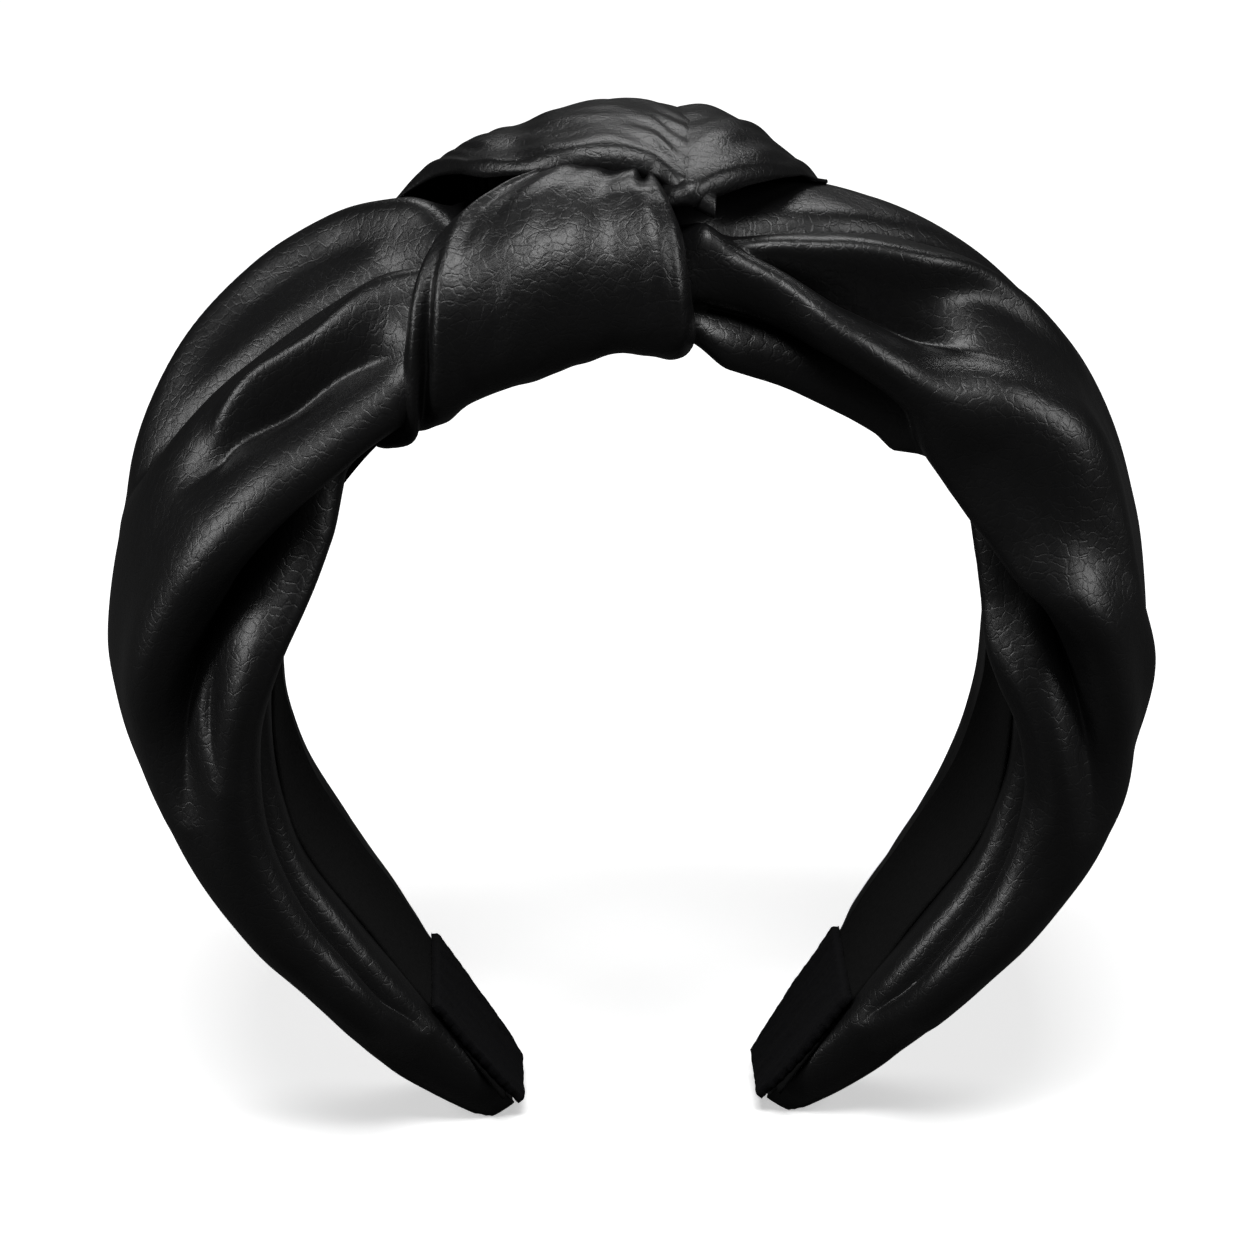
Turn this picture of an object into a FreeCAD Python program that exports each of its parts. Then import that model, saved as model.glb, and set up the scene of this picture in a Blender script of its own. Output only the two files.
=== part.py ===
"""Knotted satin headband: a sprung hoop with foam, a lining ribbon, puffed satin sleeves and a knot.

Frame: +X to the right as seen from the front, +Y to the back of the head, +Z up. The band
stands on its two tips, and the origin is on the floor, midway between them. Sizes are millimetres.

Every layer follows one line, the inner face of the lining. Seen from the front it is three tangent
arcs and a straight run on each side. A layer is placed by its "offset", which is the distance from
that line, outwards. Layers from the head outwards: lining, satin, hoop, foam, wadding, satin.

The hoop bends most just beside the stiff knot. It is divided there, on two flex lines, so that each
arm turns about a pivot on the hoop's outer face.
"""

import FreeCAD
import Part
import Sketcher
import math
import os

Vector = FreeCAD.Vector
LEFT, RIGHT = -1, 1
SIDES = {"left": LEFT, "right": RIGHT}

DIMENSIONS = {
    # the line that every layer follows
    "crown_radius": 60.0,
    "side_radius": 85.0,
    "lower_radius": 54.0,
    "crown_angle": 75.0,
    "side_angle": 95.0,
    "lower_angle": 124.0,
    "arm_straight": 54.0,
    "left_flex_angle": 38.0,
    "right_flex_angle": 16.0,
    "flex_gap": 0.3,
    # layers
    "lining_thickness": 0.8,
    "satin_thickness": 0.6,
    "hoop_thickness": 2.0,
    "foam_thickness": 5.0,
    "tab_thickness": 1.2,
    "layer_gap": 0.2,
    # widths, from front to back
    "band_width": 40.0,
    "tab_width": 27.0,
    "foot_width": 15.0,
    "hoop_margin": 1.5,
    "tab_length": 26.0,
    "tip_clearance": 2.2,
    # satin sleeves on the arms
    "sleeve_clearance": 4.5,
    "sleeve_start_height": 24.5,
    "sleeve_peak_height": 29.5,
    "sleeve_height_difference": -2.4,
    "sleeve_end_height": 16.0,
    "sleeve_start_width": 52.0,
    "sleeve_peak_width": 60.0,
    "sleeve_end_width": 35.0,
    "wadding_end_share": 0.84,
    # satin wound round each tip
    "tip_wrap_height": 14.5,
    "tip_foot_height": 8.0,
    # knot
    "knot_end_height": 22.5,
    "knot_peak_height": 30.0,
    "knot_end_width": 50.0,
    "knot_peak_width": 61.0,
    "knot_ply": 3.0,
    "knot_split_back": 13.0,
    "knot_split_front": -15.0,
    "thread_diameter": 0.7,
    "stitch_length": 7.0,
}

doc = FreeCAD.newDocument("headband")


# ---------------------------------------------------------------- dimensions
def make_sheet():
    """A spreadsheet of the driving dimensions, one aliased cell each."""
    table = doc.addObject("Spreadsheet::Sheet", "dims")
    for row, (name, value) in enumerate(DIMENSIONS.items(), start=1):
        table.set(f"A{row}", name)
        table.set(f"B{row}", str(value))
        table.setAlias(f"B{row}", name)
    doc.recompute()
    return table


sheet = make_sheet()


def dim(name):
    """The value of one driving dimension, read from the sheet."""
    return float(sheet.get(name))


def satin_offset():
    """Where the satin under the hoop starts, just outside the lining."""
    return dim("lining_thickness") + dim("layer_gap")


def hoop_offset():
    return satin_offset() + dim("satin_thickness") + dim("layer_gap")


def foam_offset():
    """Where the foam starts, just outside the hoop."""
    return hoop_offset() + dim("hoop_thickness") + dim("layer_gap")


def wadding_offset():
    return foam_offset() + dim("foam_thickness") + dim("layer_gap")


# The same offsets as expressions, for the features that are bound to the sheet.
LINING_IN = "0 * dims.lining_thickness"
LINING_OUT = "dims.lining_thickness"
HOOP_IN = "(dims.lining_thickness + dims.satin_thickness + 2 * dims.layer_gap)"
HOOP_OUT = f"({HOOP_IN} + dims.hoop_thickness)"
FOAM_IN = f"({HOOP_OUT} + dims.layer_gap)"
FOAM_OUT = f"({FOAM_IN} + dims.foam_thickness)"
TAB_RUN = "(dims.arm_straight - dims.tab_length)"


# ---------------------------------------------------------------- the line
class Line:
    """The inner face of the lining on the right-hand side, about the crown arc's centre.

    Distances along it start at the top of the crown. at() gives a point in the XZ plane and its
    angle from the crown: the outward normal is (sin, cos) of it and the way down is (cos, -sin).
    """

    def __init__(self):
        radii = [dim("crown_radius"), dim("side_radius"), dim("lower_radius")]
        ends = [dim("crown_angle"), dim("side_angle"), dim("lower_angle")]
        self.arcs = []
        centre, start, along = (0.0, 0.0), 0.0, 0.0
        for radius, end in zip(radii, ends):
            if self.arcs:
                shift = self.arcs[-1]["radius"] - radius
                turn = math.radians(start)
                centre = (centre[0] + shift * math.sin(turn), centre[1] + shift * math.cos(turn))
            length = radius * math.radians(end - start)
            self.arcs.append(
                {"centre": centre, "radius": radius, "start": start, "end": end, "along": along}
            )
            start, along = end, along + length
        self.bend_length = along
        self.length = along + dim("arm_straight")

    def on_arc(self, arc, angle, offset=0.0):
        turn = math.radians(angle)
        reach = arc["radius"] + offset
        return (arc["centre"][0] + reach * math.sin(turn), arc["centre"][1] + reach * math.cos(turn))

    def at(self, along, offset=0.0):
        if along >= self.bend_length:
            angle = self.arcs[-1]["end"]
            x, z = self.on_arc(self.arcs[-1], angle, offset)
            turn, run = math.radians(angle), along - self.bend_length
            return x + run * math.cos(turn), z - run * math.sin(turn), angle
        arc = [a for a in self.arcs if a["along"] <= along][-1]
        angle = arc["start"] + math.degrees((along - arc["along"]) / arc["radius"])
        x, z = self.on_arc(arc, angle, offset)
        return x, z, angle


line = Line()


def flex_angle(side):
    return dim("left_flex_angle") if side == LEFT else dim("right_flex_angle")


def flex_along(side):
    return dim("crown_radius") * math.radians(flex_angle(side))


def tab_along():
    """Where the tip tabs start."""
    return line.length - dim("tab_length")


def floor_height():
    """The floor, from the crown arc's centre: just below the hoop's lower corner at its tip."""
    return line.at(line.length, hoop_offset())[1] - dim("tip_clearance")


# ---------------------------------------------------------------- expressions of sheet cells
ARC_RADIUS = ["dims.crown_radius", "dims.side_radius", "dims.lower_radius"]
ARC_END = ["dims.crown_angle", "dims.side_angle", "dims.lower_angle"]
TURN_OF = {"x": "sin", "z": "cos"}


def joint_expression(number, axis, offset):
    """Where an arc of the line ends, at an offset: its centre, and then its radius along its turn."""
    turn_of = TURN_OF[axis]
    terms = [
        f"({ARC_RADIUS[n]} - {ARC_RADIUS[n + 1]}) * {turn_of}({ARC_END[n]} * 1 deg)"
        for n in range(number)
    ]
    terms.append(f"({ARC_RADIUS[number]} + {offset}) * {turn_of}({ARC_END[number]} * 1 deg)")
    return " + ".join(terms)


def run_expression(axis, offset, run):
    """A point of the straight run, a given length below the last joint."""
    step = {"x": " + {} * cos({} * 1 deg)", "z": " - {} * sin({} * 1 deg)"}[axis]
    return joint_expression(2, axis, offset) + step.format(run, ARC_END[2])


def flex_expression(name, clearance):
    """The angle at which a layer starts or stops, a clearance away from a flex line."""
    return f"(dims.{name}_flex_angle * 1 deg + {clearance} / dims.crown_radius * 1 rad)"


def sheet_value(expression):
    """The number that an expression of sheet cells gives."""
    probe = doc.addObject("App::FeaturePython", "probe")
    probe.addProperty("App::PropertyFloat", "Value")
    probe.setExpression("Value", expression)
    doc.recompute()
    value = probe.Value
    doc.removeObject(probe.Name)
    return value


# ---------------------------------------------------------------- sketch helpers
def origin_plane(body, role):
    return [f for f in body.Origin.OriginFeatures if f.Role == role][0]


def new_sketch(body, name, role):
    sketch = body.newObject("Sketcher::SketchObject", name)
    sketch.AttachmentSupport = [(origin_plane(body, role), "")]
    sketch.MapMode = "FlatFace"
    return sketch


def bind(sketch, constraint, expression):
    """Adds a constraint whose value is bound to the sheet."""
    index = sketch.addConstraint(constraint)
    sketch.renameConstraint(index, f"size_{index}")
    sketch.setExpression(f"Constraints.size_{index}", expression)


def place_point(sketch, kind, geometry, point, expression, side=RIGHT):
    """Ties a point to the sketch's origin along one axis. The left side is a mirror image."""
    value = sheet_value(expression) * side
    sign = "" if side == RIGHT else "-"
    if value >= 0:
        constraint = Sketcher.Constraint(kind, -1, 1, geometry, point, value)
        bind(sketch, constraint, f"{sign}({expression})")
    else:
        constraint = Sketcher.Constraint(kind, geometry, point, -1, 1, -value)
        bind(sketch, constraint, f"-({sign}({expression}))")


def polygon(sketch, corners):
    """Straight edges joined end to end round a list of (x, y) corners."""
    points = [Vector(x, y, 0) for x, y in corners]
    edges = [
        sketch.addGeometry(Part.LineSegment(one, two), False)
        for one, two in zip(points, points[1:] + points[:1])
    ]
    for one, two in zip(edges, edges[1:] + edges[:1]):
        sketch.addConstraint(Sketcher.Constraint("Coincident", one, 2, two, 1))
    return edges


def pad(body, sketch, expression):
    """Pads a front-view outline evenly to the front and to the back."""
    made = body.newObject("PartDesign::Pad", body.Name + "_pad")
    made.Profile = sketch
    made.SideType = "Symmetric"
    made.setExpression("Length", expression)
    doc.recompute()


def new_body(label):
    body = doc.addObject("PartDesign::Body", label)
    body.Label = label
    return body


# ---------------------------------------------------------------- hoop, foam, lining and tabs
def arc_end(side, which):
    """Sketcher's number for an arc's end: arcs always run anticlockwise."""
    return {(RIGHT, "start"): 2, (RIGHT, "end"): 1, (LEFT, "start"): 1, (LEFT, "end"): 2}[side, which]


def sketch_arc(sketch, side, number, start, offset):
    """One arc of a layer's edge, with its radius bound. On the left the ends swap."""
    arc = line.arcs[number]
    reach = sheet_value(offset) + arc["radius"]
    first, last = (math.radians(90 - a) for a in (start, arc["end"]))
    if side == LEFT:
        first, last = math.pi - first, math.pi - last
    centre = Vector(side * arc["centre"][0], arc["centre"][1], 0)
    circle = Part.Circle(centre, Vector(0, 0, 1), reach)
    index = sketch.addGeometry(Part.ArcOfCircle(circle, min(first, last), max(first, last)), False)
    bind(sketch, Sketcher.Constraint("Radius", index, reach), f"{ARC_RADIUS[number]} + {offset}")
    return index


def arm_edge(sketch, side, offset, start, run):
    """One long edge of an arm layer: three tangent arcs and a straight run.

    offset, start and run are expressions: the edge's offset, the angle where it starts and how far
    its straight run goes.
    """
    starts = [math.degrees(sheet_value(f"{start} / 1 rad"))] + [a["start"] for a in line.arcs[1:]]
    chain = [sketch_arc(sketch, side, n, angle, offset) for n, angle in enumerate(starts)]
    reach = line.bend_length + sheet_value(run)
    ends = [line.at(along, sheet_value(offset)) for along in (line.bend_length, reach)]
    segment = Part.LineSegment(*[Vector(side * x, z, 0) for x, z, _ in ends])
    chain.append(sketch.addGeometry(segment, False))
    sketch.addConstraint(Sketcher.Constraint("Coincident", chain[0], 3, -1, 1))
    first_x = f"(dims.crown_radius + {offset}) * sin({start})"
    place_point(sketch, "DistanceX", chain[0], arc_end(side, "start"), first_x, side)
    for number in range(3):
        is_run = number == 2
        near, far = arc_end(side, "end"), 1 if is_run else arc_end(side, "start")
        sketch.addConstraint(
            Sketcher.Constraint("Tangent", chain[number], near, chain[number + 1], far)
        )
        if number == 0:
            where = joint_expression(number, "x", offset)
            place_point(sketch, "DistanceX", chain[number], near, where, side)
        else:
            where = joint_expression(number, "z", offset)
            place_point(sketch, "DistanceY", chain[number], near, where)
    place_point(sketch, "DistanceY", chain[-1], 2, run_expression("z", offset, run))
    return chain[0], chain[-1]


def arm_layer(label, side, inner, outer, width, start, run):
    """A layer of an arm, from beside the flex line to a point on the straight run, cut to its outline."""
    body = new_body(label)
    sketch = new_sketch(body, label + "_section", "XZ_Plane")
    inner_ends, outer_ends = (arm_edge(sketch, side, edge, start, run) for edge in (inner, outer))
    for (one, two), point in zip(zip(inner_ends, outer_ends), (arc_end(side, "start"), 2)):
        ends = [sketch.getPoint(edge, point) for edge in (one, two)]
        across = sketch.addGeometry(Part.LineSegment(*ends), False)
        sketch.addConstraint(Sketcher.Constraint("Coincident", across, 1, one, point))
        sketch.addConstraint(Sketcher.Constraint("Coincident", across, 2, two, point))
    pad(body, sketch, width)
    cut_to_outline(body)


def crown_layer(label, inner, outer, width, clearance):
    """A layer of the crown, between the flex lines: a plain arc of constant width."""
    body = new_body(label)
    sketch = new_sketch(body, label + "_section", "XZ_Plane")
    turns = {side: flex_expression(name, f"(-{clearance})") for name, side in SIDES.items()}
    angles = {side: sheet_value(f"{turn} / 1 rad") for side, turn in turns.items()}
    low, high = math.pi / 2 - angles[RIGHT], math.pi / 2 + angles[LEFT]
    arcs = []
    for offset in (inner, outer):
        radius = dim("crown_radius") + sheet_value(offset)
        circle = Part.Circle(Vector(0, 0, 0), Vector(0, 0, 1), radius)
        arcs.append(sketch.addGeometry(Part.ArcOfCircle(circle, low, high), False))
        bind(sketch, Sketcher.Constraint("Radius", arcs[-1], radius), f"dims.crown_radius + {offset}")
        sketch.addConstraint(Sketcher.Constraint("Coincident", arcs[-1], 3, -1, 1))
        for point, side in ((1, RIGHT), (2, LEFT)):
            where = f"(dims.crown_radius + {offset}) * sin({turns[side]})"
            place_point(sketch, "DistanceX", arcs[-1], point, where, side)
    for point in (1, 2):
        ends = [sketch.getPoint(arc, point) for arc in arcs]
        edge = sketch.addGeometry(Part.LineSegment(*ends), False)
        for end, arc in enumerate(arcs, start=1):
            sketch.addConstraint(Sketcher.Constraint("Coincident", edge, end, arc, point))
    pad(body, sketch, width)


def tip_tab(label, side):
    """The felt tab glued over the lining's end, on the straight run."""
    body = new_body(label)
    sketch = new_sketch(body, label + "_section", "XZ_Plane")
    corners = []
    for along, offset in ((0, 0), (1, 0), (1, 1), (0, 1)):
        x, z, _ = line.at(line.length - along * dim("tab_length"), -offset * dim("tab_thickness"))
        corners.append((side * x, z))
    edges = polygon(sketch, corners)
    for one, two in ((0, 1), (2, 3)):
        sketch.addConstraint(Sketcher.Constraint("Perpendicular", edges[one], edges[two]))
    sketch.addConstraint(Sketcher.Constraint("Parallel", edges[0], edges[2]))
    bind(sketch, Sketcher.Constraint("Distance", edges[0], dim("tab_length")), "dims.tab_length")
    bind(sketch, Sketcher.Constraint("Distance", edges[1], dim("tab_thickness")), "dims.tab_thickness")
    place_point(sketch, "DistanceX", edges[0], 1, run_expression("x", "0", "dims.arm_straight"), side)
    place_point(sketch, "DistanceY", edges[0], 1, run_expression("z", "0", "dims.arm_straight"))
    place_point(sketch, "DistanceX", edges[0], 2, run_expression("x", "0", TAB_RUN), side)
    pad(body, sketch, "dims.tab_width")
    cut_to_outline(body)


def cut_to_outline(body):
    """Trims an arm layer to its width: full at the crown, narrower at the tab and at the foot."""
    is_hard = body.Label.startswith(("hoop", "foam"))
    margin = "dims.hoop_margin" if is_hard else "0"
    foot = run_expression("z", "0", "dims.arm_straight")
    top = "2 * dims.crown_radius"
    corners = [
        (f"dims.band_width / 2 - {margin}", top),
        (f"dims.band_width / 2 - {margin}", "0 * dims.crown_radius"),
        (f"dims.tab_width / 2 - {margin}", run_expression("z", "0", TAB_RUN)),
        (f"dims.foot_width / 2 - {margin}", foot),
        (f"dims.foot_width / 2 - {margin}", f"{foot} - dims.band_width"),
        ("2 * dims.band_width", f"{foot} - dims.band_width"),
        ("2 * dims.band_width", top),
    ]
    sketch = new_sketch(body, body.Name + "_outline", "YZ_Plane")
    for side in (LEFT, RIGHT):
        places = [(side * sheet_value(across), sheet_value(up)) for across, up in corners]
        for edge, (across, up) in zip(polygon(sketch, places), corners):
            place_point(sketch, "DistanceX", edge, 1, across, side)
            place_point(sketch, "DistanceY", edge, 1, up)
    pocket = body.newObject("PartDesign::Pocket", body.Name + "_taper")
    pocket.Profile = sketch
    pocket.Type = "ThroughAll"
    pocket.SideType = "Symmetric"
    doc.recompute()


# ---------------------------------------------------------------- soft shapes
SLEEVE_STATIONS = 15
SLEEVE_PEAK_AT = 0.36


def section(side, along, low, high, half_width, corner):
    """A closed D-shaped section across the band: flat towards the head, crowned outwards."""
    rise = high - low
    profile = [
        (half_width - corner, 0.0),
        (half_width, 0.36 * rise),
        (0.80 * half_width, 0.80 * rise),
        (0.0, rise),
    ]
    points = profile + [(-y, up) for y, up in profile[-2::-1]]

    def place(y, up):
        x, z, _ = line.at(along, low + up)
        return Vector(side * x, y, z)

    crown = Part.BSplineCurve()
    crown.interpolate([place(y, up) for y, up in points])
    base = Part.LineSegment(place(*points[-1]), place(*points[0]))
    return Part.Wire([crown.toShape(), base.toShape()])


def sleeve_size(side, share):
    """(height, width) of a sleeve at a share of its length: it swells to a peak and narrows to the tip."""
    sizes = []
    for kind in ("height", "width"):
        start, peak, end = (dim(f"sleeve_{where}_{kind}") for where in ("start", "peak", "end"))
        if kind == "height":
            peak += side * dim("sleeve_height_difference") / 2
        if share < SLEEVE_PEAK_AT:
            sizes.append(start + (peak - start) * math.sin(math.pi / 2 * share / SLEEVE_PEAK_AT) ** 2)
        else:
            fall = (share - SLEEVE_PEAK_AT) / (1 - SLEEVE_PEAK_AT)
            sizes.append(end + (peak - end) * math.cos(math.pi / 2 * fall) ** 2)
    return sizes


def sleeve_loft(side, inset, base_inset, until=1.0):
    """The sleeve's outer form, or the same form taken in by an inset."""
    start = flex_along(side) + dim("sleeve_clearance")
    stop = tab_along()
    wires = []
    for number in range(SLEEVE_STATIONS):
        share = until * number / (SLEEVE_STATIONS - 1)
        height, width = sleeve_size(side, share)
        wires.append(
            section(
                side,
                start + (stop - start) * share,
                satin_offset() + base_inset,
                height - inset,
                width / 2 - inset,
                dim("satin_thickness") * 3,
            )
        )
    return Part.makeLoft(wires, True, False)


def strip_solid(side, low, high, start, stop, width):
    """A plain strip of the arm between two offsets and two distances along the line."""
    chains = []
    for offset in (low, high):
        alongs = [start] + [a["along"] for a in line.arcs[1:]] + [line.bend_length, stop]
        alongs = [a for a in alongs if start <= a <= stop]
        chain = []
        for one, two in zip(alongs, alongs[1:]):
            ends = [line.at(a, offset) for a in (one, (one + two) / 2, two)]
            places = [Vector(side * x, 0, z) for x, z, _ in ends]
            if one >= line.bend_length - 1e-9:
                chain.append(Part.LineSegment(places[0], places[2]).toShape())
            else:
                chain.append(Part.Arc(*places).toShape())
        chains.append(chain)
    edges = chains[0] + chains[1]
    for which in (0, -1):
        ends = [line.at((start, stop)[which], offset) for offset in (low, high)]
        edges.append(Part.LineSegment(*[Vector(side * x, 0, z) for x, z, _ in ends]).toShape())
    face = Part.Face(Part.Wire(Part.__sortEdges__(edges)))
    solid = face.extrude(Vector(0, width, 0))
    solid.translate(Vector(0, -width / 2, 0))
    return solid


def feature(label, shape):
    """A sub-part whose shape is made with Part's own functions."""
    made = doc.addObject("Part::Feature", label)
    made.Label = label
    made.Shape = shape.removeSplitter() if len(shape.Solids) == 1 else shape
    return made


def sleeve(label, side):
    """The satin tube round one arm."""
    ply = dim("satin_thickness")
    outer = sleeve_loft(side, 0.0, 0.0)
    inner = sleeve_loft(side, ply, ply)
    return feature(label, outer.cut(inner))


def wadding(label, side):
    """The fibre fill between the foam and the sleeve."""
    inset = dim("satin_thickness") + dim("layer_gap")
    body = sleeve_loft(side, inset, inset, until=dim("wadding_end_share"))
    below = strip_solid(
        side,
        -dim("lining_thickness"),
        wadding_offset(),
        flex_along(side),
        line.length,
        dim("sleeve_peak_width") * 2,
    )
    return feature(label, body.cut(below))


def tip_wrap(label, side):
    """The satin wound round a tip: folded plies about the hoop's end, cut level where it stands."""
    gap = dim("layer_gap")
    start = tab_along() + gap
    beyond = line.length + dim("tab_length") / 2
    outline = [
        (start, dim("tip_wrap_height"), dim("tab_width") / 2 + dim("satin_thickness")),
        (line.length, dim("tip_foot_height"), dim("foot_width") / 2),
        (beyond, dim("tip_foot_height"), dim("foot_width") * 0.4),
    ]
    wires = [section(side, a, satin_offset(), high, half, 1.0) for a, high, half in outline]
    wound = Part.makeLoft(wires, True, True)
    slot = strip_solid(
        side, hoop_offset() - gap, foam_offset(), start - 1, line.length + gap, dim("band_width")
    )
    reach = dim("crown_radius") * 4
    floor = floor_height()
    under = Part.makeBox(reach, reach, reach, Vector(-reach / 2, -reach / 2, floor - reach))
    return feature(label, wound.cut(slot.common(hoop_channel(side, start, reach))).cut(under))


def hoop_channel(side, start, reach):
    """A block as wide as the hoop's tip, with clearance, that narrows as the hoop does."""
    low, high = line.at(line.length)[1], line.at(start)[1]
    ease = dim("layer_gap") - dim("hoop_margin")
    foot_half, tab_half = dim("foot_width") / 2 + ease, dim("tab_width") / 2 + ease
    spread = 10.0
    top_half = tab_half + (tab_half - foot_half) / (high - low) * spread
    ends = [(low - spread, foot_half), (low, foot_half), (high + spread, top_half)]
    corners = [Vector(0, half, z) for z, half in ends]
    corners += [Vector(0, -half, z) for z, half in reversed(ends)]
    return Part.Face(Part.makePolygon(corners + corners[:1])).extrude(Vector(side * reach, 0, 0))


# ---------------------------------------------------------------- knot
KNOT_STATIONS = 7
KNOT_CORNER = 2.0
STITCH_SHARES = (0.30, 0.42, 0.54, 0.66)
STITCH_DEPTH_SHARE = 0.72
STITCH_HOLE_EASE = 0.05


def knot_size(share):
    """(height, width) of the knot at a share of its length, highest in the middle."""
    swell = math.sin(math.pi * share)
    return [
        dim(f"knot_end_{kind}") + (dim(f"knot_peak_{kind}") - dim(f"knot_end_{kind}")) * swell
        for kind in ("height", "width")
    ]


def knot_angle(share):
    """The signed angle of a knot section from the crown: the left flex line is negative."""
    gap = math.degrees(dim("flex_gap") / 2 / dim("crown_radius"))
    low = gap - dim("left_flex_angle")
    high = dim("right_flex_angle") - gap
    return low + (high - low) * share


def knot_loft(inset, base_inset):
    wires = []
    for number in range(KNOT_STATIONS):
        share = number / (KNOT_STATIONS - 1)
        height, width = knot_size(share)
        angle = knot_angle(share)
        side = LEFT if angle < 0 else RIGHT
        wires.append(
            section(
                side,
                abs(math.radians(angle)) * dim("crown_radius"),
                satin_offset() + base_inset,
                height - inset,
                width / 2 - inset,
                KNOT_CORNER,
            )
        )
    return Part.makeLoft(wires, True, False)


def split_point(share):
    """A point of the upright plane that parts the two loops of the knot."""
    angle = math.radians(knot_angle(share))
    back, front = dim("knot_split_back"), dim("knot_split_front")
    return Vector(dim("crown_radius") * math.sin(angle), back + (front - back) * share, 0)


def half_space(toward_front):
    """A large block on one side of the plane between the knot's loops."""
    one, two = split_point(0), split_point(1)
    run = (two - one).normalize()
    across = Vector(run.y, -run.x, 0)
    if not toward_front:
        across = across * -1
    reach = dim("crown_radius") * 4
    corners = [one - run * reach, one + run * reach]
    corners += [corner + across * reach for corner in reversed(corners)]
    face = Part.Face(Part.makePolygon(corners + corners[:1]))
    return face.extrude(Vector(0, 0, reach))


def stitches(channel=0.0):
    """Short threads through both loops where they meet, or the holes that they need."""
    one, two = split_point(0), split_point(1)
    run = (two - one).normalize()
    across = Vector(run.y, -run.x, 0)
    threads = []
    for share in STITCH_SHARES:
        middle = split_point(share)
        height = knot_size(share)[0] - dim("knot_ply") * STITCH_DEPTH_SHARE
        angle = math.radians(knot_angle(share))
        reach = dim("crown_radius") + height
        place = Vector(reach * math.sin(angle), middle.y, reach * math.cos(angle))
        length = dim("stitch_length") + channel
        start = place - across * (length / 2)
        threads.append(Part.makeCylinder(dim("thread_diameter") / 2 + channel, length, start, across))
    return threads


def knot():
    """The two satin loops of the knot, the fill inside them and the threads that tack them."""
    ply = dim("knot_ply")
    shell = knot_loft(0.0, 0.0).cut(knot_loft(ply, dim("satin_thickness")))
    gap = dim("layer_gap")
    holes = stitches(channel=STITCH_HOLE_EASE)
    for label, toward_front in (("knot_front_loop", True), ("knot_back_loop", False)):
        feature(label, shell.common(half_space(toward_front)).cut(holes))
    fill = knot_loft(ply + gap, dim("satin_thickness") + gap)
    reach = dim("crown_radius") + wadding_offset()
    under = Part.makeCylinder(reach, reach * 2, Vector(0, -reach, 0), Vector(0, 1, 0))
    feature("knot_wadding", fill.cut(under))
    feature("knot_stitches", Part.makeCompound(stitches()))


# ---------------------------------------------------------------- the whole headband
def build():
    band = "dims.band_width"
    narrow = "dims.band_width - 2 * dims.hoop_margin"
    crown_layer("lining_crown", LINING_IN, LINING_OUT, band, "dims.flex_gap / 2")
    crown_layer("hoop_crown", HOOP_IN, HOOP_OUT, narrow, "dims.flex_gap / 2")
    crown_layer("foam_crown", FOAM_IN, FOAM_OUT, narrow, "dims.flex_gap / 2")
    lining_run = "(dims.arm_straight - dims.tip_clearance)"
    for name, side in SIDES.items():
        near = flex_expression(name, "dims.flex_gap / 2")
        clear = flex_expression(name, "dims.sleeve_clearance / 2")
        arm_layer(f"lining_{name}", side, LINING_IN, LINING_OUT, band, near, lining_run)
        arm_layer(f"hoop_{name}", side, HOOP_IN, HOOP_OUT, narrow, near, "dims.arm_straight")
        arm_layer(f"foam_{name}", side, FOAM_IN, FOAM_OUT, narrow, clear, TAB_RUN)
        tip_tab(f"tip_tab_{name}", side)
        sleeve(f"sleeve_{name}", side)
        wadding(f"wadding_{name}", side)
        tip_wrap(f"tip_wrap_{name}", side)
    knot()
    stand_on_floor()
    doc.recompute()


def stand_on_floor():
    """Moves every sub-part alike, so that the origin is on the floor, below the middle of the whole."""
    box = FreeCAD.BoundBox()
    for sub_part in sub_parts():
        box.add(sub_part.Shape.optimalBoundingBox(True, False))
    for sub_part in sub_parts():
        sub_part.Placement.Base = Vector(-box.Center.x, 0, -floor_height())
    print(f"the crown arc's centre is at x {-box.Center.x:.3f} z {-floor_height():.3f}")


def sub_parts():
    return [o for o in doc.Objects if o.TypeId in ("PartDesign::Body", "Part::Feature")]


def export():
    """Checks every object and writes each sub-part's shape to its own STEP file."""
    bad = [o.Name for o in doc.Objects if {"Invalid", "Error"} & set(o.State)]
    if bad:
        raise RuntimeError(f"these objects failed: {bad}")
    os.makedirs("parts", exist_ok=True)
    for sub_part in sub_parts():
        shape = sub_part.Shape
        if shape.isNull() or not shape.isValid() or shape.Volume <= 0:
            raise RuntimeError(f"{sub_part.Label} has no valid shape")
        shape.exportStep(os.path.join("parts", sub_part.Label + ".step"))
        print(f"{sub_part.Label:18s} {len(shape.Solids)} solids {shape.Volume / 1000:8.2f} cm3")


build()
export()
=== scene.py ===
"""Looks of the knotted satin headband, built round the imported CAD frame.

Lengths are worked out in millimetres along the band and become metres when a mesh is made. "along" is
the signed distance from the top of the crown, negative on the left arm. "around" goes round the band's
section: 0 at its front, 0.5 at its outermost, 1 at its back.
"""

import math

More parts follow.
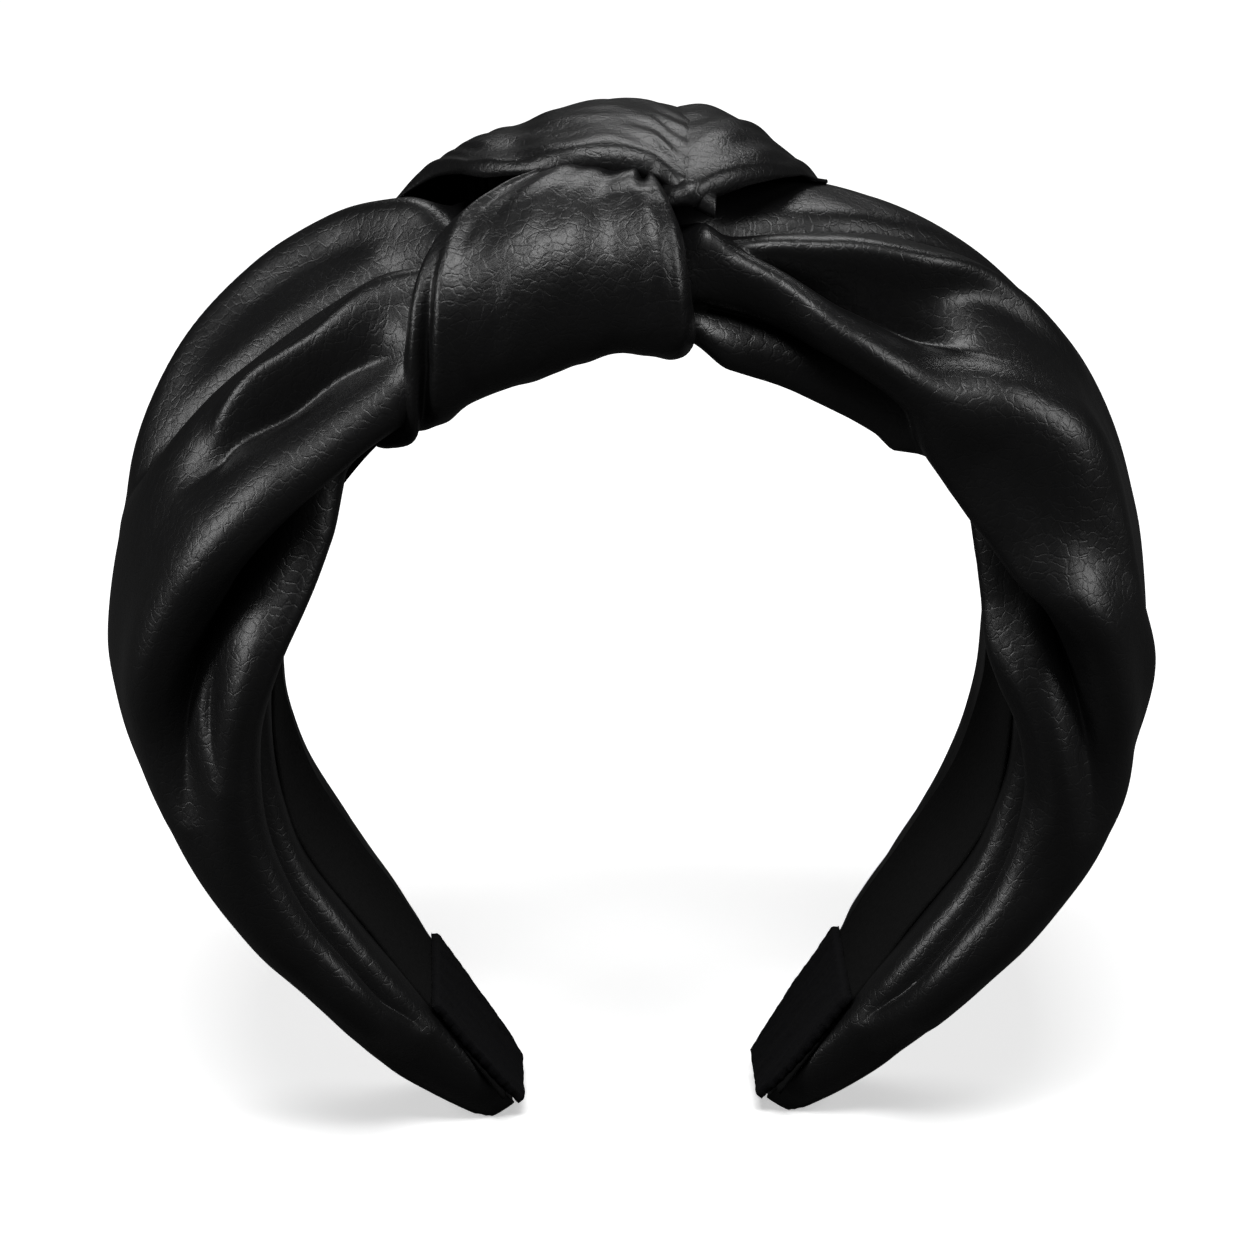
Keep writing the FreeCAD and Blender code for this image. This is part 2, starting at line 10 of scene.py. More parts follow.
import bmesh
import bpy
import numpy as np
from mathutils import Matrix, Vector


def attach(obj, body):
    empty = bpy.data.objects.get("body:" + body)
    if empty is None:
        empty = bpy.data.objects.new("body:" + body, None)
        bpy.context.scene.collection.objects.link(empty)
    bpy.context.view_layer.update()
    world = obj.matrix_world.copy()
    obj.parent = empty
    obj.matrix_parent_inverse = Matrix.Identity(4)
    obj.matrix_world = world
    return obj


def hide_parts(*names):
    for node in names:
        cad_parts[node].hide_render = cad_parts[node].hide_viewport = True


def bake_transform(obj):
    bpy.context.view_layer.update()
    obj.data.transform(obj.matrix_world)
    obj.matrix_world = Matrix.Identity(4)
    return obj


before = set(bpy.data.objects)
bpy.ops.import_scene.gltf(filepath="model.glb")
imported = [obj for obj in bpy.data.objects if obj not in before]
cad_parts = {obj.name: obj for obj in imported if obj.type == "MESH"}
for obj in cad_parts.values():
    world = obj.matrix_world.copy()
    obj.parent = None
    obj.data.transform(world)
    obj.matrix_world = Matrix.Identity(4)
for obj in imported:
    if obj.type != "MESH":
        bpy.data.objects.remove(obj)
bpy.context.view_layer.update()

# ---------------------------------------------------------------- the line of the band
MM = 0.001
CROWN_RADIUS, SIDE_RADIUS, LOWER_RADIUS = 60.0, 85.0, 54.0
TURNS = np.radians([75.0, 95.0, 124.0])
STRAIGHT = 54.0
TAB_LENGTH = 26.0
CENTRE = np.array([1.850, 87.343])
SPANS = np.array([CROWN_RADIUS, SIDE_RADIUS, LOWER_RADIUS]) * np.diff(TURNS, prepend=0)
BEND = SPANS.sum()
LENGTH = BEND + STRAIGHT
TAB = LENGTH - TAB_LENGTH
SIDE_NAMES = {-1: "left", 1: "right"}
# Each arm's flex line, as a distance along the band, and how far to either side of it flex_span puts its
# points.
FLEX = {-1: CROWN_RADIUS * math.radians(38.0), 1: CROWN_RADIUS * math.radians(16.0)}
FLEX_REACH = 7.0
FLEX_OFFSET = 10.0


def on_line(along, offset):
    """(x, z) of points at signed distances along the band from its top: negative is the left arm."""
    side = np.where(along < 0, -1.0, 1.0)
    gone = np.abs(along)
    ends = np.cumsum(SPANS)
    centres = np.zeros((3, 2))
    for number, (one, two) in enumerate([(CROWN_RADIUS, SIDE_RADIUS), (SIDE_RADIUS, LOWER_RADIUS)]):
        shift = (one - two) * np.array([np.sin(TURNS[number]), np.cos(TURNS[number])])
        centres[number + 1] = centres[number] + shift
    arc = np.minimum((gone[..., None] >= ends[:2]).sum(-1), 2)
    radius = np.array([CROWN_RADIUS, SIDE_RADIUS, LOWER_RADIUS])[arc]
    first = np.array([0.0, TURNS[0], TURNS[1]])[arc]
    before = np.array([0.0, ends[0], ends[1]])[arc]
    turn = np.minimum(first + (gone - before) / radius, TURNS[2])
    run = np.maximum(gone - BEND, 0.0)
    x = centres[arc, 0] + (radius + offset) * np.sin(turn) + run * np.cos(turn)
    z = centres[arc, 1] + (radius + offset) * np.cos(turn) - run * np.sin(turn)
    return CENTRE[0] + side * x, CENTRE[1] + z


def smooth(x, knots):
    """A curve through (place, value) knots that doesn't overshoot between them."""
    places, values = np.array(knots, float).T
    steps, slopes = np.diff(places), np.diff(values) / np.diff(places)
    inner = np.where(
        slopes[:-1] * slopes[1:] > 0,
        2 * slopes[:-1] * slopes[1:] / np.where(slopes[:-1] + slopes[1:] == 0, 1, slopes[:-1] + slopes[1:]),
        0.0,
    )
    tangents = np.concatenate([[slopes[0]], inner, [slopes[-1]]])
    x = np.clip(x, places[0], places[-1])
    k = np.clip(np.searchsorted(places, x) - 1, 0, len(steps) - 1)
    u = (x - places[k]) / steps[k]
    return (
        (2 * u**3 - 3 * u**2 + 1) * values[k]
        + (u**3 - 2 * u**2 + u) * steps[k] * tangents[k]
        + (3 * u**2 - 2 * u**3) * values[k + 1]
        + (u**3 - u**2) * steps[k] * tangents[k + 1]
    )


# ---------------------------------------------------------------- the plain puffed form
# Heights and half widths of the satin, at signed distances along the band.
PUFF_HEIGHT = [
    (-190, 9), (-180, 13), (-170, 16), (-160, 16.8), (-150, 17), (-130, 19), (-110, 24.5), (-92, 29),
    (-74, 29.5), (-60, 27.5), (-48, 24.5), (-38, 22.5), (-20, 20.5), (8, 20.5), (20, 23), (32, 25.5),
    (46, 27), (60, 28), (74, 27), (90, 25), (110, 23.8), (130, 19), (150, 17.5), (160, 17.2), (170, 16),
    (180, 13), (190, 9),
]
PUFF_HALF_WIDTH = [
    (-190, 8), (-180, 12.5), (-170, 16), (-163, 20), (-155, 25), (-145, 28), (-125, 30), (-92, 30.5),
    (-60, 29), (-38, 26), (-20, 26), (8, 25), (25, 27), (60, 29.5), (92, 30.5), (125, 30),
    (145, 28), (155, 25), (163, 20), (170, 16), (180, 12.5), (190, 8),
]
RIBBON_HALF_WIDTH = [(0, 19.5), (95, 19.0), (120, 17.0), (TAB, 13.3), (LENGTH, 8.5)]
EQUATOR = 0.40
BOXY = 0.88
UNDER = 0.35
TUCK_OFFSET = 1.0


def puff(along, around, heights=PUFF_HEIGHT, half_widths=PUFF_HALF_WIDTH):
    """Points of the plain satin form. around: 0 at its front, 0.5 outermost, 1 at its back.

    Below 0 and above 1 the satin curls under, and it meets the ribbon's edge at UNDER beyond.
    """
    along, around = np.broadcast_arrays(np.asarray(along, float), np.asarray(around, float))
    height, half = smooth(along, heights), smooth(along, half_widths)
    ribbon = np.minimum(smooth(np.abs(along), RIBBON_HALF_WIDTH), half - 0.5)
    middle = EQUATOR * height
    turn = np.pi * np.clip(around, 0, 1)
    y = -half * np.sign(np.cos(turn)) * np.abs(np.cos(turn)) ** BOXY
    up = middle + (height - middle) * np.abs(np.sin(turn)) ** BOXY
    beyond = np.clip(np.maximum(-around, around - 1) / UNDER, 0, 1) * np.pi / 2
    front = np.where(around < 0.5, -1.0, 1.0)
    low_y = front * (ribbon + (half - ribbon) * np.cos(beyond) ** BOXY)
    low_up = middle - (middle - TUCK_OFFSET) * np.sin(beyond) ** BOXY
    is_under = (around < 0) | (around > 1)
    y, up = np.where(is_under, low_y, y), np.where(is_under, low_up, up)
    x, z = on_line(along, up)
    return np.stack([x, y, z], axis=-1)


# ---------------------------------------------------------------- folds
RIDGE_SHARPNESS = 2.0
GROOVE_SHARPNESS = 1.4


def unit(vectors):
    return vectors / np.maximum(np.linalg.norm(vectors, axis=-1, keepdims=True), 1e-9)


class Cloth:
    """A grid of points on a plain form, that folds are pressed into."""

    def __init__(self, form, along, around):
        self.along, self.around = np.meshgrid(along, around, indexing="ij")
        self.points = form(self.along, self.around)
        step = np.gradient(self.points, axis=1)
        lengths = np.linalg.norm(step, axis=-1)
        self.walk = np.cumsum(lengths, axis=1) - lengths / 2
        self.across = unit(step)
        self.normal = unit(np.cross(np.gradient(self.points, axis=0), step))
        outward = self.points - self.points.mean(axis=1, keepdims=True)
        flip = np.sign((self.normal * outward).sum(-1).mean())
        self.normal = self.normal * flip
        self.push = np.zeros(self.along.shape)
        self.slide = np.zeros(self.along.shape)

    def distance(self, path):
        """Signed distance across the cloth, in mm, from a path of (along, around) knots."""
        middle = smooth(self.along[:, 0], path)
        start = np.array(
            [np.interp(m, self.around[0], row) for m, row in zip(middle, self.walk)]
        )
        return self.walk - start[:, None]

    def fold(self, path, heights, width, lean):
        """A ridge, or a groove if its height is negative. lean tips its crest over, in mm."""
        away = self.distance(path)
        height = smooth(self.along[:, 0], [(path[0][0], 0.0)] + heights + [(path[-1][0], 0.0)])[:, None]
        inside = (self.along >= path[0][0]) & (self.along <= path[-1][0])
        sharpness = RIDGE_SHARPNESS if heights[0][1] > 0 else GROOVE_SHARPNESS
        shape = np.exp(-(np.abs(away / width) ** sharpness)) * inside
        self.push += height * shape
        peak = max(abs(h) for _, h in heights)
        self.slide += lean * height / peak * shape

    def done(self):
        return self.points + self.normal * self.push[..., None] + self.across * self.slide[..., None]


def noise(shape, rng, waves, coords):
    """Soft wrinkles: a sum of seeded waves over (mm along, mm across)."""
    total = np.zeros(shape)
    for length, height in waves:
        for _ in range(7):
            heading, phase = rng.uniform(-0.9, 0.9), rng.uniform(0, 2 * np.pi)
            size = length * rng.uniform(0.7, 1.5)
            ride_along = coords[0] * np.sin(heading) + coords[1] * np.cos(heading)
            total += height * np.sin(2 * np.pi * ride_along / size + phase) / 2.6
    return total


# ---------------------------------------------------------------- sleeves
ROW_STEP = 0.75
SLEEVE_COLUMNS = 190
TIP_FADE = 30.0
# Each fold is (path of (distance, around) knots, heights at distances, width in mm, lean in mm).
LEFT_FOLDS = [
    # the roll along the back edge, and the crisp groove in front of it
    (
        [(22, 0.50), (30, 0.60), (40, 0.70), (50, 0.68), (62, 0.58), (80, 0.50)],
        [(28, 5.0), (45, 7.0), (60, 4.6), (72, 1.8)],
        6.5,
        -3.0,
    ),
    (
        [(21, 0.33), (34, 0.47), (52, 0.45), (67, 0.46), (78, 0.50)],
        [(25, -6.0), (34, -7.0), (50, -6.0), (66, -3.0)],
        3.4,
        0,
    ),
    (
        [(22, 0.80), (36, 0.90), (56, 0.84), (80, 0.76)],
        [(32, -4.0), (50, -5.0), (66, -3.0)],
        3.4,
        0,
    ),
    # the panel in front: a ridge, a hollow, and the long ridge that runs down the arm
    (
        [(22, 0.22), (33, 0.26), (42, 0.235), (53, 0.27), (62, 0.25)],
        [(27, 3.4), (38, 4.4), (50, 4.2), (57, 3.0)],
        3.8,
        1.5,
    ),
    (
        [(32, 0.09), (42, 0.15), (50, 0.185), (58, 0.22), (68, 0.24)],
        [(38, -4.2), (50, -7.0), (58, -5.4)],
        4.4,
        0,
    ),
    (
        [(28, 0.03), (50, 0.01), (62, 0.04), (75, 0.09), (90, 0.17), (114, 0.22)],
        [(36, 4.4), (50, 5.6), (66, 6.2), (86, 5.0), (102, 1.8)],
        6,
        -4.0,
    ),
    (
        [(40, -0.25), (56, -0.15), (68, -0.06), (80, 0.03), (92, 0.085), (112, 0.12)],
        [(50, -6.0), (66, -9.0), (82, -9.0), (100, -4.0)],
        4.8,
        0,
    ),
    (
        [(54, -0.34), (70, -0.24), (84, -0.15), (103, -0.07), (138, 0.00)],
        [(64, 4.2), (82, 6.6), (100, 5.4), (120, 2.6)],
        4.4,
        2.0,
    ),
    (
        [(82, -0.05), (92, -0.03), (106, -0.035)],
        [(94, -3.4)],
        1.8,
        0,
    ),
    # the pleat that turns in beside the ribbon, and a long soft ridge towards the tip
    (
        [(90, -0.26), (105, -0.25), (125, -0.23), (145, -0.20), (166, -0.16)],
        [(100, -2.6), (125, -4.4), (150, -4.0)],
        2.2,
        0,
    ),
    (
        [(100, 0.22), (125, 0.10), (150, 0.02), (168, 0.05)],
        [(118, 2.0), (145, 2.4)],
        6,
        0,
    ),
    # folds on the back, which the front view hides
    (
        [(30, 1.10), (50, 1.02), (76, 1.02), (110, 1.12), (140, 1.14)],
        [(48, 4.0), (80, 5.0), (112, 2.8)],
        6,
        2.0,
    ),
    (
        [(60, 0.98), (84, 0.90), (112, 0.98), (140, 1.04)],
        [(84, -4.6), (112, -4.0)],
        3.6,
        0,
    ),
]
RIGHT_FOLDS = [
    # two ridges that leave the heart of the knot, and the wide hollow between them
    (
        [(3, 0.26), (11, 0.165), (17, 0.115), (27, 0.012), (38, -0.01), (54, 0.01)],
        [(8, 4.5), (17, 6.6), (27, 6.4), (42, 2.8)],
        4.2,
        1.5,
    ),
    (
        [(4, 0.25), (18, 0.285), (33, 0.34), (43, 0.43), (62, 0.50)],
        [(9, 2.4), (18, 4.8), (33, 4.6), (48, 2.4)],
        3.8,
        -2.5,
    ),
    (
        [(7, 0.22), (16, 0.19), (26, 0.17), (36, 0.18), (58, 0.27)],
        [(12, -4.0), (22, -8.5), (34, -9.0), (46, -4.0)],
        7.0,
        0,
    ),
    (
        [(4, 0.31), (20, 0.39), (36, 0.50), (54, 0.60)],
        [(10, -3.0), (25, -3.0), (40, -2.0)],
        2.2,
        0,
    ),
    (
        [(38, 0.10), (52, 0.15), (64, 0.20), (78, 0.22)],
        [(50, 4.4), (60, 4.0)],
        8.5,
        0,
    ),
    # the groove and the strand below the front ridge
    (
        [(4, 0.0), (12, -0.06), (24, -0.15), (40, -0.19), (56, -0.22)],
        [(8, -4.6), (20, -6.0), (34, -5.0), (46, -2.4)],
        2.4,
        0,
    ),
    (
        [(7, -0.18), (20, -0.26), (44, -0.32), (58, -0.34)],
        [(14, 4.0), (28, 4.4), (44, 3.0)],
        4,
        0,
    ),
    # the shoulder that turns under, and the dark hollow below it
    (
        [(42, -0.20), (54, -0.18), (66, -0.11), (80, 0.05), (92, 0.13), (116, 0.20)],
        [(50, 3.0), (64, 5.8), (78, 7.0), (92, 5.4), (104, 2.6)],
        6,
        -4.0,
    ),
    (
        [(46, -0.30), (60, -0.24), (72, -0.14), (86, 0.01), (98, 0.07), (116, 0.11)],
        [(56, -6.0), (70, -9.0), (82, -9.0), (98, -5.0)],
        4.8,
        0,
    ),
    (
        [(78, -0.24), (92, -0.15), (106, -0.04), (124, 0.04)],
        [(92, 3.6), (106, 3.0)],
        3.6,
        0,
    ),
    (
        [(68, 0.22), (82, 0.23), (92, 0.29), (106, 0.32)],
        [(80, 2.6), (92, 2.6)],
        4,
        0,
    ),
    (
        [(58, -0.34), (76, -0.31), (90, -0.27), (112, -0.16)],
        [(70, 3.6), (84, 4.4), (98, 2.6)],
        3.2,
        0,
    ),
    # the pleat that turns in beside the ribbon, and folds on the back
    (
        [(94, -0.27), (110, -0.27), (125, -0.24), (145, -0.20), (166, -0.16)],
        [(105, -2.6), (125, -4.4), (148, -4.0)],
        2.2,
        0,
    ),
    (
        [(104, 0.24), (125, 0.12), (150, 0.03), (168, 0.05)],
        [(122, 2.0), (148, 2.2)],
        6,
        0,
    ),
    (
        [(8, 0.80), (34, 0.88), (60, 0.84), (84, 0.88), (110, 0.98)],
        [(26, -5.0), (58, -5.6), (84, -4.4)],
        3.6,
        0,
    ),
    (
        [(14, 1.10), (44, 1.02), (76, 1.02), (110, 1.12), (140, 1.14)],
        [(40, 4.0), (76, 5.0), (112, 2.8)],
        6,
        2.0,
    ),
]


def mesh_object(name, grid, ring=False, caps=False):
    """A mesh from a grid of points in millimetres. ring closes it round, caps closes its two ends."""
    rows, columns = grid.shape[:2]
    bm = bmesh.new()
    verts = [[bm.verts.new([c * MM for c in point]) for point in row] for row in grid]
    last = columns if ring else columns - 1
    for i in range(rows - 1):
        for j in range(last):
            k = (j + 1) % columns
            bm.faces.new((verts[i][j], verts[i][k], verts[i + 1][k], verts[i + 1][j]))
    if caps:
        for row in (verts[0], verts[-1]):
            middle = bm.verts.new(sum((v.co for v in row), row[0].co * 0) / columns)
            for j in range(columns):
                bm.faces.new((row[j], row[(j + 1) % columns], middle))
    bmesh.ops.recalc_face_normals(bm, faces=bm.faces)
    mesh = bpy.data.meshes.new(name)
    bm.to_mesh(mesh)
    bm.free()
    mesh.polygons.foreach_set("use_smooth", [True] * len(mesh.polygons))
    made = bpy.data.objects.new(name, mesh)
    bpy.context.scene.collection.objects.link(made)
    return made


def finish_piece(made, material, nodes, body, across=None):
    """Gives a piece its material and hides the CAD nodes that it stands for. It is attached to its body,
    or, given across, its transform is baked and it follows no body.
    """
    made.data.materials.append(material)
    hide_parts(*nodes)
    if across:
        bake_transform(made)
    else:
        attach(made, body)


def flex_span(side):
    """Two points FLEX_REACH to either side of an arm's flex line, on the band's middle."""
    ends = []
    for shift in (-FLEX_REACH, FLEX_REACH):
        x, z = on_line(np.array(side * (FLEX[side] + shift)), np.array(FLEX_OFFSET))
        ends.append((float(x) * MM, 0.0, float(z) * MM))
    return ends


def sleeve(side, first, folds, material, seed):
    """The satin round one arm, from under the knot to the tip, with its folds."""
    name = SIDE_NAMES[side]
    gone = np.concatenate([np.arange(first, LENGTH - 1.2, ROW_STEP), [LENGTH - 0.6, LENGTH]])
    around = np.linspace(-UNDER, 1 + UNDER, SLEEVE_COLUMNS)
    cloth = Cloth(puff, side * gone, around)
    for path, heights, width, lean in folds:
        if side < 0:
            path = [(-a, t) for a, t in reversed(path)]
            heights = [(-a, h) for a, h in reversed(heights)]
        cloth.fold(path, heights, width, lean)
    rng = np.random.default_rng(seed)
    coords = (cloth.along, cloth.walk)
    fade = np.clip((LENGTH - np.abs(cloth.along)) / TIP_FADE, 0.15, 1)
    cloth.push += fade * noise(cloth.push.shape, rng, [(30, 0.30), (13, 0.08)], coords)
    grid = cloth.done()
    under = tuck(side * gone, TUCK_OFFSET + 0.3)
    grid = np.concatenate([grid, under], axis=1)
    grid[..., 2] = np.maximum(grid[..., 2], 0.0)
    made = mesh_object(f"satin_{name}", grid, ring=True, caps=True)
    nodes = [f"{kind}_{name}" for kind in ("sleeve", "wadding", "foam", "tip_wrap")]
    finish_piece(made, material, nodes, f"{name}_arm", flex_span(side))


def tuck(along, offset):
    """Points under the ribbon, from the back edge to the front, that close the sleeve round."""
    half = smooth(np.abs(along), RIBBON_HALF_WIDTH)
    columns = []
    for share in np.linspace(1, -1, 9)[1:-1]:
        x, z = on_line(along, np.full(along.shape, offset))
        columns.append(np.stack([x, half * share, z], axis=-1))
    return np.stack(columns, axis=1)


# ---------------------------------------------------------------- knot
KNOT_HEIGHT = [
    (-60, 29), (-48, 28), (-38, 26.5), (-28, 26), (-10, 26.5), (8, 26.5), (20, 26), (32, 27), (60, 28),
]
KNOT_HALF_WIDTH = [(-60, 29), (-38, 27), (-20, 29.0), (8, 28.5), (25, 27.5), (60, 29)]


def knot_form(along, around):
    """The plain form under the knot's loops: like puff, but fuller."""
    return puff(along, around, KNOT_HEIGHT, KNOT_HALF_WIDTH)


def rolled(distance, roll):
    """0 at an edge, 1 from a roll's width inside it, rising as a quarter circle."""
    inside = 1 - np.clip(distance / roll, 0, 1)
    return np.sqrt(1 - inside**2)


class Patch:
    """A piece of cloth laid over a form: its points are raised from it, and its edges roll down."""

    def __init__(self, along, around):
        self.along, self.around = along, around
        self.base = knot_form(along, around)
        step = 0.02
        one = knot_form(along + 1.0, around) - knot_form(along - 1.0, around)
        two = knot_form(along, around + step) - knot_form(along, around - step)
        self.normal = unit(np.cross(one, two))
        self.raised = np.zeros(along.shape)
        steps = np.linalg.norm(np.diff(self.base, axis=1), axis=-1)
        self.down = np.concatenate([np.zeros((along.shape[0], 1)), np.cumsum(steps, axis=1)], axis=1)
        steps = np.linalg.norm(np.diff(self.base, axis=0), axis=-1)
        self.right = np.concatenate([np.zeros((1, along.shape[1])), np.cumsum(steps, axis=0)], axis=0)

    def points(self):
        return self.base + self.normal * self.raised[..., None]


# The front loop's edges. left and right: distance along the band at shares of the way down. top:
# around at shares of the way across. Its creases are (place across, spread, height).
FRONT_LEFT_EDGE = [
    (0, -6.5), (0.05, -9), (0.14, -17.5), (0.27, -25.5), (0.38, -29.5), (0.49, -32.5), (0.69, -39),
    (1, -48),
]
FRONT_RIGHT_EDGE = [(0, 1.0), (0.07, 2.0), (0.25, 3.4), (0.37, 4.6), (0.55, 5.6), (0.7, 6.6), (1, 7.8)]
FRONT_TOP_EDGE = [(0, 0.47), (0.5, 0.48), (1, 0.40)]
FRONT_CREASES = [(0.16, 0.05, 0.9), (0.45, 0.10, 0.8), (0.72, 0.06, -0.9), (0.88, 0.05, 0.9)]
SUNK = -2.0
LOBE_SUNK = -1.0
LOBE_ROLL = 3.4
LOBE_BACK_EDGE = 1.34
SATIN_THICKNESS = 0.5
CORE_RANGE = (-27, 9)
CORE_SUNK = 2.6


def bell(distance, spread):
    """A bell curve: 1 at no distance, fading over the spread."""
    return np.exp(-((distance / spread) ** 2))


def knot_front(material):
    """The loop in front: it fans out from the heart of the knot and turns under the band."""
    v = np.linspace(0, 1, 130)
    u = np.linspace(0, 1, 120)
    left, right = smooth(v, FRONT_LEFT_EDGE), smooth(v, FRONT_RIGHT_EDGE)
    along = left[None] + (right - left)[None] * u[:, None]
    top = smooth(u, FRONT_TOP_EDGE)[:, None]
    hem = -0.35 + 0.12 * u[:, None]
    around = top + (hem - top) * v[None]
    patch = Patch(along, around)
    width = patch.right[-1:] - patch.right
    edge = rolled(patch.right, 3.2) * rolled(width, 2.6) * rolled(patch.down + 2.0, 4.0)
    full = smooth(v, [(0, 0.5), (0.10, 2.4), (0.28, 4.6), (0.7, 4.4), (1, 2.2)])[None]
    patch.raised = SUNK + (full - SUNK) * edge
    across = u[:, None]
    for middle, spread, height in FRONT_CREASES:
        bend = middle + 0.10 * (v[None] - 0.4)
        patch.raised = patch.raised + height * bell(across - bend, spread) * rolled(v[None], 0.3)
    flap = smooth(v, [(0, 0), (0.3, 0.2), (0.5, 1.6), (1, 1.8)])[None]
    pinch = smooth(v, [(0, 2.6), (0.12, 2.0), (0.3, 0.0), (1, 0.0)])[None]
    patch.raised = patch.raised - bell(patch.right - 5.5, 1.1) * flap - bell(across - 0.86, 0.03) * pinch
    rng = np.random.default_rng(11)
    patch.raised += 0.7 * noise(patch.raised.shape, rng, [(14, 0.22), (6, 0.08)], (patch.down, patch.right))
    made = mesh_object("knot_front", patch.points())
    thicken(made)
    finish_piece(made, material, ["knot_front_loop"], "crown")


# Each lobe's front edge, as around at distances along the band, and its height over the form.
BACK_LOBE_EDGE = [
    (-32, 0.70), (-25, 0.60), (-17, 0.45), (-8, 0.37), (-2.5, 0.36), (1, 0.34), (4, 0.27), (8, 0.24),
]
BACK_LOBE_RISE = [(-32, -1.0), (-24, 2.2), (-12, 4.4), (0, 5.0), (4, 4.6), (8, 2.6)]
RIGHT_LOBE_EDGE = [(2, 0.26), (5, 0.25), (8, 0.29), (12, 0.36), (16, 0.44), (23, 0.60)]
RIGHT_LOBE_RISE = [(2, 1.5), (5, 4.4), (8, 4.9), (12, 4.0), (18, 0.8), (23, -1.8)]
# (place, lean towards the back, width, height)
BACK_LOBE_GROOVES = [(-14, 5, 2.5, -0.9), (-5, 6, 4.0, 0.8)]


def knot_lobe(name, first, last, front_edge, rise, seed, material, nodes, grooves=()):
    """A loop over the top of the knot, from its front edge round to the back."""
    along_line = np.linspace(first, last, 110)
    s = np.linspace(0, 1, 150)
    top = smooth(along_line, front_edge)[:, None]
    along = np.repeat(along_line[:, None], len(s), 1)
    around = top + (LOBE_BACK_EDGE - top) * s[None]
    patch = Patch(along, around)
    height = smooth(along_line, rise)[:, None]
    patch.raised = LOBE_SUNK + (height - LOBE_SUNK) * rolled(patch.down + 0.4, LOBE_ROLL)
    for place, lean, width, depth in grooves:
        away = along - (place + lean * s[None])
        patch.raised = patch.raised + depth * bell(away, width) * rolled(s[None], 0.08)
    rng = np.random.default_rng(seed)
    patch.raised += noise(patch.raised.shape, rng, [(16, 0.30), (7, 0.10)], (patch.right, patch.down))
    made = mesh_object(name, patch.points())
    thicken(made)
    finish_piece(made, material, nodes, "crown")


def knot_core(material):
    """The gathered satin inside the knot, seen only in its deepest gaps."""
    along = np.linspace(*CORE_RANGE, 50)
    around = np.linspace(-UNDER, 1 + UNDER, 120)
    cloth = Cloth(puff, along, around)
    cloth.push += 0.8 * np.sin(cloth.walk / 3.1 + cloth.along / 9) - CORE_SUNK
    grid = np.concatenate([cloth.done(), tuck(along, TUCK_OFFSET + 0.4)], axis=1)
    made = mesh_object("knot_core", grid, ring=True, caps=True)
    finish_piece(made, material, ["knot_wadding", "knot_stitches", "foam_crown"], "crown")


def thicken(made, thickness=SATIN_THICKNESS):
    """Closes an open sheet with its cloth thickness in mm, inwards, or outwards if it is negative."""
    solid = made.modifiers.new("cloth", "SOLIDIFY")
    solid.thickness = thickness * MM
    solid.offset = -1.0


# ---------------------------------------------------------------- ribbon and tabs
# Half widths in front and behind, at distances from the crown's top, and cloth thicknesses.
RIBBON_FRONT = [(0, 18.0), (80, 17.5), (118, 17.0), (140, 14.0), (LENGTH, 12.0)]
RIBBON_BACK = [(0, 18.0), (100, 18.5), (140, 17.0), (TAB, 13.0), (LENGTH, 8.5)]
RIBBON_THICKNESS = 0.6
TAB_HALF_WIDTH = [(TAB, 14.2), (LENGTH - 8, 11.6), (LENGTH, 8.8)]
TAB_RISE = 1.2
TAB_ROLL = 0.9
TAB_THICKNESS = 0.5


def ribbon(side, material):
    """Half of the lining ribbon, from the crown to a tip."""
    name = SIDE_NAMES[side]
    gone = np.arange(0, LENGTH - 3, 1.0)
    shares = np.linspace(-1, 1, 41)
    along, share = np.meshgrid(side * gone, shares, indexing="ij")
    front = smooth(np.abs(along), RIBBON_FRONT)
    back = smooth(np.abs(along), RIBBON_BACK)
    y = np.where(share < 0, share * front, share * back)
    curl = 0.35 * np.abs(share) ** 8
    wave = 0.10 * np.sin(np.abs(along) / 5.3) * share + 0.08 * np.sin(np.abs(along) / 2.9 + 2 * share)
    x, z = on_line(along, 0.25 + curl + wave)
    made = mesh_object(f"ribbon_{name}", np.stack([x, y, z], axis=-1))
    thicken(made, -RIBBON_THICKNESS)
    nodes = [f"lining_{name}", "lining_crown"]
    finish_piece(made, material, nodes, f"{name}_arm", flex_span(side))


def tip_tab(side, material):
    """The felt tab over the ribbon's end, with a slightly ragged edge."""
    name = SIDE_NAMES[side]
    rng = np.random.default_rng(21 + side)
    gone = np.linspace(TAB - 0.5, LENGTH + 0.2, 60)
    shares = np.linspace(-1, 1, 61)
    along, share = np.meshgrid(side * gone, shares, indexing="ij")
    half = smooth(gone, TAB_HALF_WIDTH)[:, None]
    ragged = 0.16 * np.sin(gone * 2.3)[:, None] + 0.12 * np.sin(gone * 5.1 + side)[:, None]
    y = share * (half + ragged * np.abs(share) ** 6)
    lumps = 0.08 * noise(along.shape, rng, [(7, 1.0), (3, 0.5)], (along, y))
    edge = rolled((1 - np.abs(share)) * half, TAB_ROLL) * rolled(gone[:, None] - TAB + 0.5, TAB_ROLL)
    x, z = on_line(along, 0.1 - TAB_RISE * edge + lumps)
    z = np.maximum(z, 0.25)
    made = mesh_object(f"tab_{name}", np.stack([x, y, z], axis=-1))
    thicken(made, -TAB_THICKNESS)
    finish_piece(made, material, [f"tip_tab_{name}"], f"{name}_arm")


# ---------------------------------------------------------------- materials
def new_material(name, colour, roughness):
    material = bpy.data.materials.new(name)
    material.use_nodes = True
    shader = material.node_tree.nodes["Principled BSDF"]
    shader.inputs["Base Color"].default_value = (*colour, 1)
    shader.inputs["Roughness"].default_value = roughness
    return material, shader


